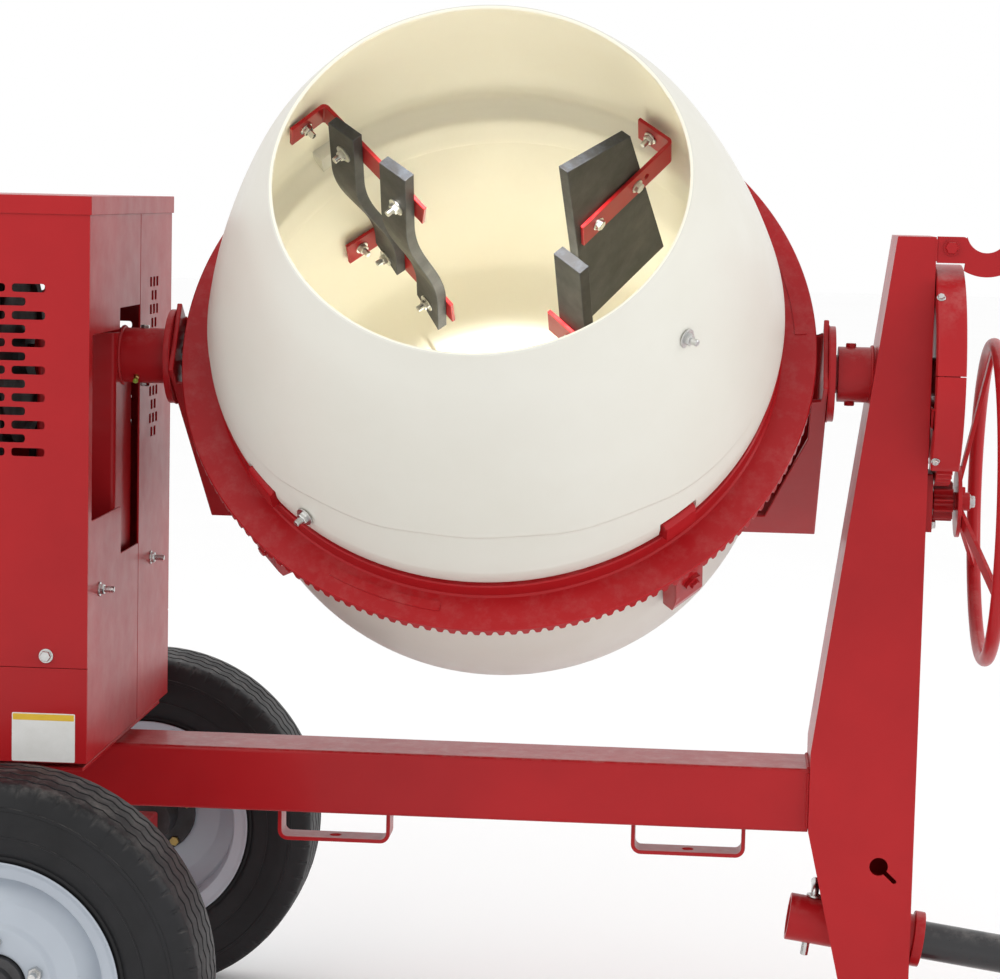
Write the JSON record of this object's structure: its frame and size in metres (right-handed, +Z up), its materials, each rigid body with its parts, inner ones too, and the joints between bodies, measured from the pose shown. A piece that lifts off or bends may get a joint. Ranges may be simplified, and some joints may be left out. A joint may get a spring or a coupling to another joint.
{
  "type": "concrete mixer",
  "caption": "Towable drum concrete mixer with a tilting yoke, a toothed ring around the drum, an engine cowl on the axle and a handwheel on the front column.",
  "frame": {"origin": "on the ground under the middle of the whole machine's length and width", "axes": "+X forwards along the tow pole, +Y to the side the drum's mouth faces away from, +Z up"},
  "size_m": [2.6627, 1.247, 1.7253],
  "materials": {
    "red_enamel": "glossy red enamel",
    "cream_polymer": "cream moulded plastic, satin",
    "black_paint": "glossy black paint",
    "paddle_board": "charcoal rubber board, matt",
    "tyre_rubber": "black tyre rubber, matt",
    "belt_rubber": "black rubber, matt",
    "silver_paint": "pale silver paint, satin",
    "zinc": "zinc-plated steel",
    "cast_iron": "dark cast iron",
    "engine_paint": "dark engine casting"
  },
  "bodies": {
    "frame": {"main_beam": "red_enamel", "front_column": "red_enamel", "fork_pocket_rear": "red_enamel", "fork_pocket_front": "red_enamel", "axle_beam": "red_enamel", "engine_deck": "red_enamel", "rear_post": "red_enamel", "rear_bearing_tube": "red_enamel", "cowl_near_side": "red_enamel", "cowl_far_side": "red_enamel", "cowl_end_near": "red_enamel", "cowl_end_far": "red_enamel", "cowl_rear": "red_enamel", "cowl_top": "red_enamel", "cowl_skirt": "red_enamel", "front_bearing_tube": "red_enamel", "pinion_bearing": "red_enamel", "gear_guard_upper": "red_enamel", "gear_guard_lower": "red_enamel", "pole_rest_hook": "red_enamel", "pole_socket": "red_enamel", "tow_pole": "black_paint", "ball_coupler": "cast_iron", "engine_block": "engine_paint", "fuel_tank": "black_paint", "drive_belt": "belt_rubber"},
    "pin": {"pole_pin": "zinc"},
    "latch": {"coupler_latch": "zinc"},
    "cradle": {"yoke": "red_enamel", "front_trunnion": "red_enamel", "rear_trunnion": "red_enamel", "tilt_gear": "red_enamel", "drum_spindle": "cast_iron"},
    "drum": {"drum_shell": "cream_polymer", "ring_gear": "red_enamel", "ring_lug_1": "red_enamel", "ring_lug_2": "red_enamel", "ring_lug_3": "red_enamel", "ring_lug_4": "red_enamel", "paddle_bracket_1": "red_enamel", "paddle_bracket_2": "red_enamel", "paddle_bracket_3": "red_enamel", "paddle_bracket_4": "red_enamel", "paddle_1": "paddle_board", "paddle_2": "paddle_board", "paddle_3": "paddle_board", "paddle_4": "paddle_board", "drum_hub": "cast_iron"},
    "drive": {"drive_shaft": "zinc", "drive_pinion": "cast_iron", "drive_pulley": "cast_iron"},
    "engine_drive": {"engine_pulley": "cast_iron"},
    "tilt_wheel": {"handwheel": "red_enamel", "tilt_pinion": "red_enamel"},
    "wheel_near": {"tyre_near": "tyre_rubber", "rim_near": "silver_paint", "hub_near": "cast_iron"},
    "wheel_far": {"tyre_far": "tyre_rubber", "rim_far": "silver_paint", "hub_far": "cast_iron"}
  },
  "joints": [
    {"name": "drum_tilt", "type": "hinge", "parent": "frame", "child": "cradle", "pos_m": [-0.0983, 0, 1.178], "axis": [1, 0, 0], "range_deg": [-55, 80]},
    {"name": "drum_spin", "type": "hinge", "parent": "cradle", "child": "drum", "pos_m": [-0.0983, 0, 1.178], "axis": [0, -0.8204, 0.5719], "continuous": true},
    {"name": "drive_spin", "type": "hinge", "parent": "cradle", "child": "drive", "pos_m": [-0.0983, 0, 1.178], "axis": [1, 0, 0], "continuous": true},
    {"name": "engine_spin", "type": "hinge", "parent": "frame", "child": "engine_drive", "pos_m": [-0.8763, 0, 0.8], "axis": [1, 0, 0], "continuous": true},
    {"name": "handwheel_turn", "type": "hinge", "parent": "frame", "child": "tilt_wheel", "pos_m": [0.6047, 0, 0.983], "axis": [1, 0, 0], "range_deg": [-490, 340]},
    {"name": "wheel_near_spin", "type": "hinge", "parent": "frame", "child": "wheel_near", "pos_m": [-0.7593, -0.536, 0.305], "axis": [0, 1, 0], "continuous": true},
    {"name": "wheel_far_spin", "type": "hinge", "parent": "frame", "child": "wheel_far", "pos_m": [-0.7593, 0.536, 0.305], "axis": [0, 1, 0], "continuous": true},
    {"name": "pole_pin_pull", "type": "slide", "parent": "frame", "child": "pin", "axis": [0.1392, 0, 0.9903], "range_m": [0, 0.12]},
    {"name": "coupler_latch_lift", "type": "hinge", "parent": "frame", "child": "latch", "pos_m": [1.27931, 0, 0.22565], "axis": [0, 1, 0], "range_deg": [0, 60]}
  ],
  "couplings": [
    {"joint": "drive_spin", "follows": "drum_spin", "ratio": 10},
    {"joint": "engine_spin", "follows": "drum_spin", "ratio": 35.2},
    {"joint": "handwheel_turn", "follows": "drum_tilt", "ratio": -6.0909}
  ]
}
